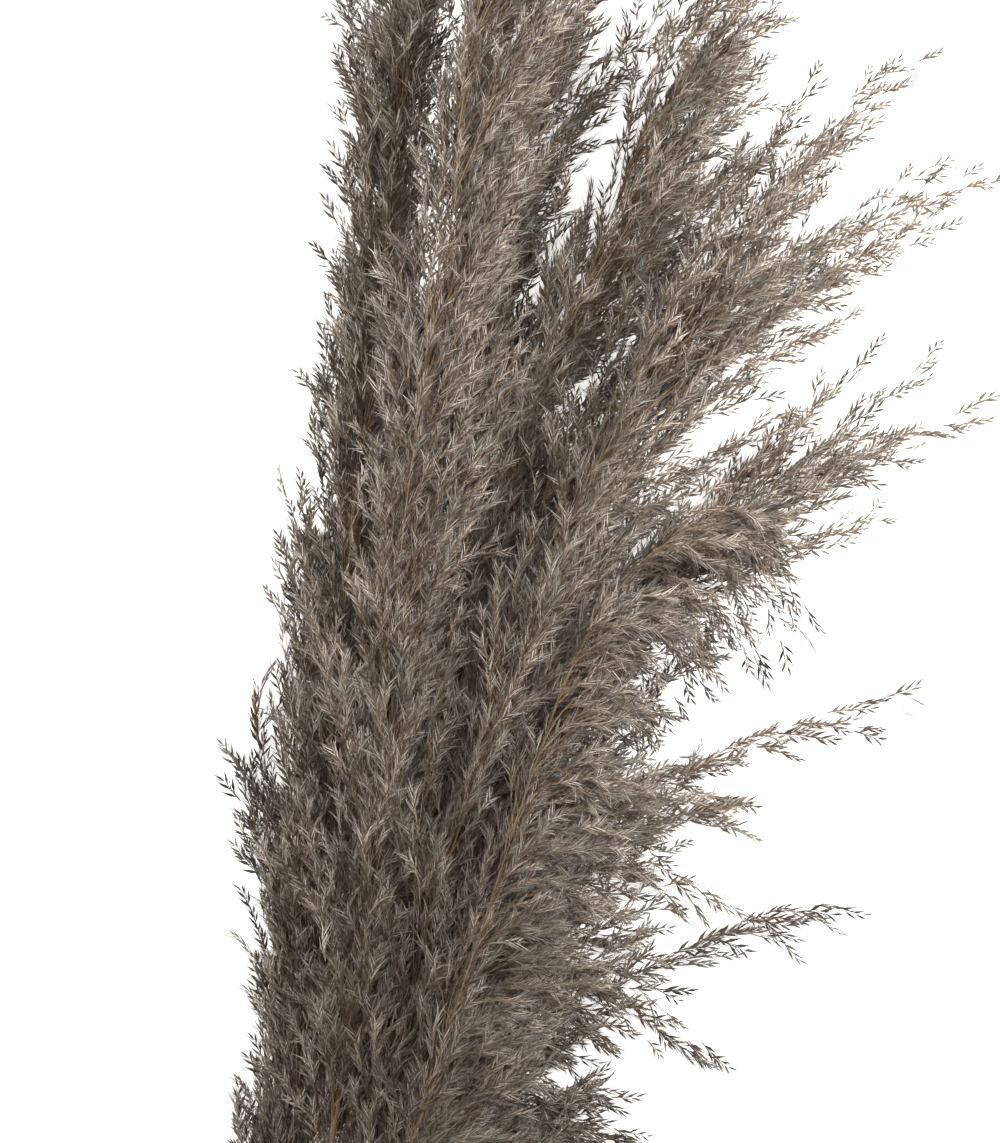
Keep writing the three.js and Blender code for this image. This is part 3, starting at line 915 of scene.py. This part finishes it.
def open_pith(cane):
    """Sinks the pith into the cut end and gives it its own finish."""
    bpy.ops.object.mode_set(mode="EDIT")
    bpy.ops.mesh.select_mode(type="FACE")
    bpy.ops.mesh.select_all(action="DESELECT")
    bpy.ops.object.mode_set(mode="OBJECT")
    cut = min(vertex.co.y for vertex in cane.data.vertices)
    for face in cane.data.polygons:
        face.select = face.normal.y < -0.9 and face.center.y < cut + MM
    bpy.ops.object.mode_set(mode="EDIT")
    bpy.ops.mesh.inset(thickness=PITH_RIM * MM)
    bpy.ops.transform.translate(value=(0, PITH_DEPTH * MM, 0))
    cane.active_material_index = 1
    bpy.ops.object.material_slot_assign()
    bpy.ops.object.mode_set(mode="OBJECT")


finishes = (cane_straw, cane_pith)
for index in range(1, len(PLUMES) + 1):
    course = refined(cane_course(index), CANE_STEP)
    bar = [(course, np.linspace(*CANE_RADIUS, len(course)))]
    cane = swept(f"cane_{index}", bar, CANE_ROUNDNESS, finishes, f"stalk_{index}")
    dress_cane(cane, index)
    open_pith(cane)
print("faces of a cane:", len(cane.data.polygons))

# %% [markdown]
# ## The twine
#
# The bunch is tied with jute twine: three plies twisted together, wound round four times and knotted. The
# winding follows the canes that stand furthest out, in straight runs from one to the next. Each ply is a
# bar that turns about the twine's own course. The knot is a trefoil, opened where its two ends leave, and
# at each end the plies come apart.

# %% Twine finish
JUTE_PALE = linear("#b79a6e")
JUTE_DARK = linear("#6d5232")


def jute_finish():
    finish = Finish("jute")
    fibres = finish.noise(1500, 4, (1, 0.5, 1))
    colour = finish.mix(JUTE_PALE, JUTE_DARK, finish.ramp(fibres, (0.35, BLACK), (0.75, WHITE)))
    relief = finish.relief(fibres, 0.6)
    return finish.close({"Base Color": colour, "Roughness": 0.9, "Normal": relief})


jute = jute_finish()

# %% Twine
TURNS = 4
PLIES, PLY_RADIUS, PLY_OFFSET, LAY = 3, 0.55, 0.56, 7.5
WOUND_STEP, KNOT_STEP, PLY_ROUNDNESS = 0.7, 0.5, 1
KNOT_ANGLE = math.radians(62)
KNOT_RADIUS, KNOT_SCALE, KNOT_OPENING, KNOT_DEPTH, KNOT_LIFT = 3.1, 0.72, 0.5, 0.9, 0.8
TWINE_END, TWINE_END_COURSE = 11.0, (0.5, 0.75, 0.3)
FRAY_LENGTH, FRAY_SPREAD, FRAY_THINNING = 5.0, 1.3, 0.75
FIBRES, FIBRE_LENGTH, FIBRE_RADIUS, FIBRE_POINTS = 140, (1.5, 4.5), (0.06, 0.03), 5
FIBRE_SCATTER, FIBRE_OUTWARD, FIBRE_CURL = 0.5, 0.8, 0.5


def round_bunch(angles, rise):
    """Points outside the canes in the given directions, by how far they rise above them."""
    out = np.stack([np.cos(angles), 0 * angles, np.sin(angles)], -1)
    return seats[np.argmax(seats @ out.T, axis=0)] + (CANE_RADIUS[0] + SEAT_GAP + rise) * out, out


def winding():
    turn = round_bunch(KNOT_ANGLE + np.linspace(0, 2 * math.pi, 361), TWINE_WIDTH / 2)[0]
    course = np.concatenate([turn[:-1]] * TURNS + [turn[-1:]])
    behind = run_along(course)
    course[:, 1] = TWINE_WIDTH * TURNS * (behind / behind[-1] - 0.5)
    return refined(course, WOUND_STEP)


def knot():
    middle, out = (value[0] for value in round_bunch(np.array([KNOT_ANGLE]), KNOT_RADIUS))
    side = np.array([-out[2], 0, out[0]])
    t = np.linspace(KNOT_OPENING, 2 * math.pi - KNOT_OPENING, 60)[:, None]
    loop = (np.sin(t) + 2 * np.sin(2 * t)) * side + (np.cos(t) - 2 * np.cos(2 * t)) * np.array([0, 1.0, 0])
    loop = middle + KNOT_SCALE * (loop - KNOT_DEPTH * np.sin(3 * t) * out)
    courses = [unit(np.array(TWINE_END_COURSE) * [s, s, 1]) for s in (-1, 1)]
    ends = [middle + (KNOT_RADIUS + TWINE_END) * course for course in courses]
    if np.linalg.norm(loop[0] - ends[0]) > np.linalg.norm(loop[0] - ends[1]):
        ends.reverse()
    leave, arrive = (ends[0] + loop[0]) / 2 + KNOT_LIFT * out, (ends[1] + loop[-1]) / 2
    return refined(Axis([ends[0], leave, *loop[::6], loop[-1], arrive, ends[1]]).points, KNOT_STEP)


def twisted(course, fray):
    """The plies of a twine along a course. With fray, they part and thin out towards both of its ends."""
    courses = unit(np.gradient(course, axis=0))
    sides = np.zeros_like(courses)
    side = np.cross(courses[0], [0.3, 0.5, 0.8])
    for i, heading in enumerate(courses):
        side = unit(side - heading * (side @ heading))
        sides[i] = side
    backs = np.cross(courses, sides)
    run = run_along(course)
    to_end = np.minimum(run, run[-1] - run)
    parting = np.clip(1 - to_end / FRAY_LENGTH, 0, 1) if fray else 0 * run
    plies = []
    for ply in range(PLIES):
        phase = run / LAY * 2 * math.pi + ply / PLIES * 2 * math.pi
        offset = (PLY_OFFSET + FRAY_SPREAD * parting**2)[:, None]
        points = course + offset * (np.cos(phase)[:, None] * sides + np.sin(phase)[:, None] * backs)
        plies.append((points, PLY_RADIUS * (1 - FRAY_THINNING * parting)))
    return plies


def loose_fibres(course, count, chance):
    """Short curled fibres that stand off the twine."""
    starts = course[chance.integers(0, len(course), count)] + chance.normal(0, FIBRE_SCATTER, (count, 3))
    headings = unit(chance.normal(0, 1, (count, 3)) + FIBRE_OUTWARD * unit(starts - seats.mean(0)))
    curls = chance.normal(0, FIBRE_CURL, (count, 3))
    lengths = chance.uniform(*FIBRE_LENGTH, count)
    t = np.linspace(0, 1, FIBRE_POINTS)[:, None]
    return [
        (eased(start + length * (t * heading + t**2 * curl)), np.linspace(*FIBRE_RADIUS, FIBRE_POINTS))
        for start, heading, curl, length in zip(starts, headings, curls, lengths)
    ]


wound, knotted = winding(), knot()
chance = np.random.default_rng(40)
plies = twisted(wound, False) + twisted(knotted, True)
fibres = loose_fibres(np.concatenate([wound, knotted, knotted]), FIBRES, chance)
twine = swept("twine", plies + fibres, PLY_ROUNDNESS, (jute,), "twine_tie")
print("faces of the twine:", len(twine.data.polygons))

# %% [markdown]
# ## Floor and light
#
# The plumes stood against pure white in soft light that is strongest on the right. The floor is white and
# gives off a little light of its own, so that the shadows on it stay faint and the fine tips stand out
# against it. A key light stands to the right, a wide one fills in from above, and a low one picks out the
# fringe on the left.

# %% Floor
FLOOR_SIZE = 12.0


def floor_finish():
    finish = Finish("floor_white")
    glow = {"Emission Color": WHITE, "Emission Strength": 0.8}
    return finish.close({"Base Color": (0.9, 0.9, 0.9, 1), "Roughness": 0.9, **glow})


nothing_selected()
bpy.ops.mesh.primitive_plane_add(size=FLOOR_SIZE, location=(0, 0, 0))
floor = bpy.context.object
floor.name = "floor"
floor.data.materials.append(floor_finish())

# %% Lights
LIT_PLACE = (0.1, 0.7, 0.05)
SKY_STRENGTH = 0.23
LIGHTS = {
    "key": {"place": (0.9, 1.0, 0.62), "size": 0.7, "power": 16.5},
    "fill": {"place": (0.5, 1.2, 1.7), "size": 1.6, "power": 6},
    "rim": {"place": (-0.8, 0.75, 0.2), "size": 0.3, "power": 9},
}


def make_light(name, place, size, power):
    light = bpy.data.objects.new(name, bpy.data.lights.new(name, "AREA"))
    bpy.context.scene.collection.objects.link(light)
    light.data.size, light.data.energy = size, power
    light.location = Vector(HOME) + Vector(place)
    light.rotation_euler = (Vector(LIT_PLACE) - Vector(place)).to_track_quat("-Z", "Y").to_euler()


for name, light in LIGHTS.items():
    make_light(name, **light)

world = bpy.data.worlds.new("studio")
bpy.context.scene.world = world
world.use_nodes = True
sky = world.node_tree.nodes["Background"].inputs
sky["Color"].default_value, sky["Strength"].default_value = WHITE, SKY_STRENGTH
bpy.context.scene.view_settings.view_transform = "Standard"
